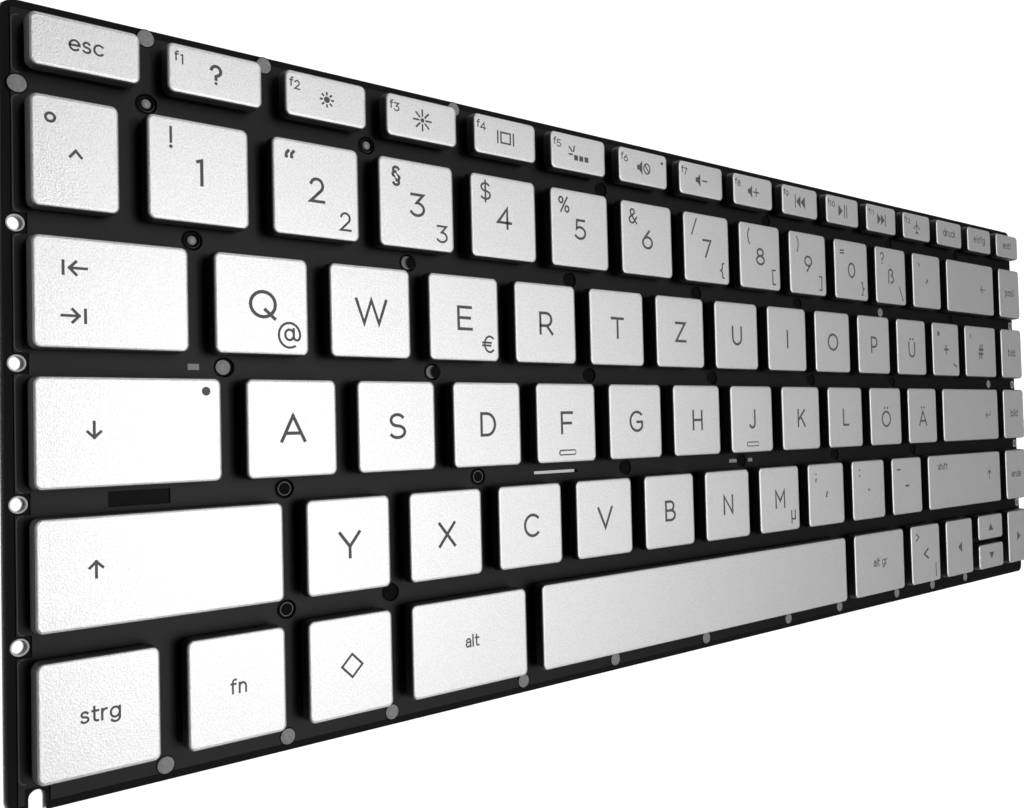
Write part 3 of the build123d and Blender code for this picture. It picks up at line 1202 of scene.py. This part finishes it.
stake_rows = [
    (0, 0, "p.p..d..d..d.d", digit_gap_shift),
    (1, 2, "p.s.d.d.d.h.d", 0),
    (2, 3, "r.s.d.d.d.d.h", 0),
    (3, 4, "o.o.d.d.d.d", 0),
    (4, 4, "o", 0),
]
stake_kinds = {"p": pin_in_collar, "o": hollow_pin, "r": rivet, "s": shaded_rivet, "d": collar, "h": head}
for gap, row_number, kinds, shift in stake_rows:
    for column, kind in enumerate(kinds):
        if kind in stake_kinds:
            stake_kinds[kind](gap_after(row_number, column), gap_below(gap) + shift)
rear_y = max(cap.high.y for cap in rows[0]) + rear_offset
for column in (0, 1, 3):
    head(gap_after(0, column), rear_y)
front_y = min(cap.low.y for cap in rows[5]) - front_offset
for column in range(8):
    head(gap_after(5, column) - front_shift, front_y)
space = rows[5][4]
for share in (0.22, 0.5, 0.8):
    head(space.low.x + share * (space.high.x - space.low.x), front_y)
left_x = min(cap.low.x for cap in rows[1]) - left_offset
head(left_x, gap_below(0))
collar(gap_after(4, 1), gap_below(4) + lone_shift)
print("faces of the stakes:", len(stakes.faces))

# %% [markdown]
# ## Bushes of the margin holes
# Each margin hole has a bright metal bush. Its profile wraps round a bore, so the hole stays open.

# %% Bushes of the margin holes
hole_inset = 1.6 * MM
bush_lift = 0.02
hole_x = cad_box[1].x - hole_inset
bush_foot = bush_lift - film_top / MM
plate_rise = (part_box("membrane_circuit")[0].z - film_top) / MM
bush_profile = [
    (0.98, bush_foot),
    (0.98, plate_rise + 0.01),
    (1.16, plate_rise + 0.02),
    (1.16, plate_rise + 0.06),
    (1.08, plate_rise + 0.09),
    (0.94, plate_rise + 0.05),
    (0.9, bush_foot),
]
for gap in (1, 2, 3, 4):
    for side in (-1, 1):
        add_turned(side * hole_x, gap_below(gap), bush_profile, BUSH, wrap=True)
print("plate lies", round(plate_rise, 3), "mm from the film's top")

# %% [markdown]
# ## The film's edge and its tabs
# Beside the left keys the film has a raised line with round ends, which a pen stroke gives. Three small
# grey tabs lie on the film.

# %% The film's edge beside the left keys
line_inset = 0.12 * MM
line_overlap = 0.2
line_width = 0.14 * MM
line_low = 0.03 * MM
line_high = 0.05 * MM
turn_radius = 0.8
film_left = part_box("membrane_circuit")[0].x + line_inset
for row in rows:
    first = row[0].low.y / MM - line_overlap
    last = row[0].high.y / MM + line_overlap
    x = film_left / MM + turn_radius
    line = arc(x, last - turn_radius, turn_radius, turn_radius, 90, 180)
    line += arc(x, first + turn_radius, turn_radius, turn_radius, 180, 270)
    scaled = [(x * MM, y * MM) for x, y in line]
    add_stroke(stakes, scaled, line_width, film_top - line_low, film_top + line_high, EDGE_AND_HALF_SHADE)

tab_low = 0.05 * MM
tab_high = 0.08 * MM


def add_tab(x, y, width, depth):
    """A small grey rectangle stuck on the film."""
    outline = rectangle(x - width / 2, y - depth / 2, width, depth)
    add_slab(stakes, outline, film_top - tab_low, film_top + tab_high, GREY)


# Where each tab is measured from, its gap, and its shift, width and depth in mm
tabs = [
    (gap_after(3, 0), 2, -4.7, 1.7, 0.9),
    (centre(rows[3][7]).x, 3, -3.0, 2.6, 0.8),
    (centre(rows[3][7]).x, 3, 3.2, 1.6, 0.8),
]
for start, gap, shift, width, depth in tabs:
    add_tab(start + shift * MM, gap_below(gap), width * MM, depth * MM)
stake_finishes = [stake_grey, stake_black_and_shade, eyelet_grey, pin_grey, collar_lip, film_edge_and_half_shade]
stakes.piece("film_stakes", stake_finishes, "base", "black_steel")
print("stake faces:", len(stakes.faces))

# %% [markdown]
# ## The sheets
# The plate, the film and the light panel keep their solids and only get their finishes.

# %% Finishes of the sheets
sheets = {"base_plate": steel_black, "membrane_circuit": film_black, "backlight_panel": milky}
for node, material in sheets.items():
    frame["nodes"][node].data.materials.clear()
    frame["nodes"][node].data.materials.append(material)
    print(node, "is", material.name)

# %% [markdown]
# ## The floor
# The module lies flat on a pale floor. The floor is a hair below its underside, so that the two never
# share a face, which would flicker in the render.


# %% Floor
floor_half = 3.0
floor_gap = 0.02 * MM


def make_floor():
    mesh = bpy.data.meshes.new("floor")
    corners = rectangle(-floor_half, -floor_half, 2 * floor_half, 2 * floor_half)
    mesh.from_pydata([(x, y, 0) for x, y in corners], [], [[0, 1, 2, 3]])
    material, shader, wire = new_finish("pale_floor")
    wire.fill(shader, {"Base Color": (0.9, 0.9, 0.9, 1), "Roughness": 0.8})
    mesh.materials.append(material)
    floor = new_object("floor", mesh)
    floor.location.z = cad_box[0].z - floor_gap


make_floor()
print("floor is", 2 * floor_half, "m wide")

# %% [markdown]
# ## The light
# The photograph has one clear light from above, on the right, in a wide bright field. The sun throws
# the shadows between the keys. The two panels are what the silver mirrors, so the keys at the left glow and
# those far to the right turn grey. Two cards at the sides keep the silver bright from other angles.


# %% Lights
def add_light(name, kind, direction, distance, target, **settings):
    """A lamp that shines on a target from a direction."""
    data = bpy.data.lights.new(name, kind)
    for setting, value in settings.items():
        setattr(data, setting, value)
    lamp = new_object(name, data)
    toward = Vector(direction).normalized()
    lamp.location = Vector(target) + toward * distance
    lamp.rotation_euler = toward.to_track_quat("Z", "Y").to_euler()
    return lamp


def tilted(toward_right, toward_rear):
    """The direction of a lamp that leans from straight above, in degrees."""
    return (math.tan(math.radians(toward_right)), math.tan(math.radians(toward_rear)), 1)


world = bpy.data.worlds.new("studio")
world.use_nodes = True
backdrop = Wire(world.node_tree)
seen = backdrop.add("ShaderNodeLightPath", output="Is Camera Ray")
field = between(backdrop, seen, grey(0.04), grey(0.8))
backdrop.fill(world.node_tree.nodes["Background"], {"Color": field})
bpy.context.scene.world = world
origin = (0, 0, 0)
sun_angle = math.radians(5)
shadow_lamp = add_light("shadow_lamp", "SUN", tilted(21, 0), 1.0, origin, energy=3.0, angle=sun_angle)
shadow_lamp.visible_glossy = False
panel_distance = 1.2
wide = {"shape": "ELLIPSE", "size": 1.15, "size_y": 0.8, "energy": 2.95}
near = {"shape": "ELLIPSE", "size": 1.5, "size_y": 0.46, "energy": 3.5}
add_light("wide_panel", "AREA", tilted(31, -6), panel_distance, (-0.09, 0, 0), **wide)
add_light("near_panel", "AREA", tilted(13.5, 0), panel_distance, (-0.11, 0, 0), **near)
card_distance = 1.6
card_settings = {"shape": "RECTANGLE", "size": 1.5, "size_y": 1.0, "energy": 3.4}
for name, toward_rear in (("front_card", -1), ("rear_card", 1)):
    side = Vector((0.45, 0.85 * toward_rear, 0.38))
    card = add_light(name, "AREA", side, card_distance, origin, **card_settings)
    card.visible_camera = False
bpy.context.scene.view_settings.view_transform = "Standard"
print("lamps:", [lamp.name for lamp in bpy.data.lights])

# %% [markdown]
# ## The camera
# The place, turn and lens were fitted to the corners of the key tops in the photograph, which was taken
# close to the left end.

# %% Camera
camera_place = (-170.406, -5.251, 139.999)
camera_turn = (2.675, -38.317, -1.8151)
camera_data = bpy.data.cameras.new("camera")
camera_data.sensor_width = 36
camera_data.lens = 33.472
camera_data.clip_start = 1 * MM
camera = new_object("camera", camera_data)
camera.location = [value * MM for value in camera_place]
camera.rotation_euler = [math.radians(angle) for angle in camera_turn]
bpy.context.scene.camera = camera
print("camera at", [round(value / MM, 1) for value in camera.location], "mm")
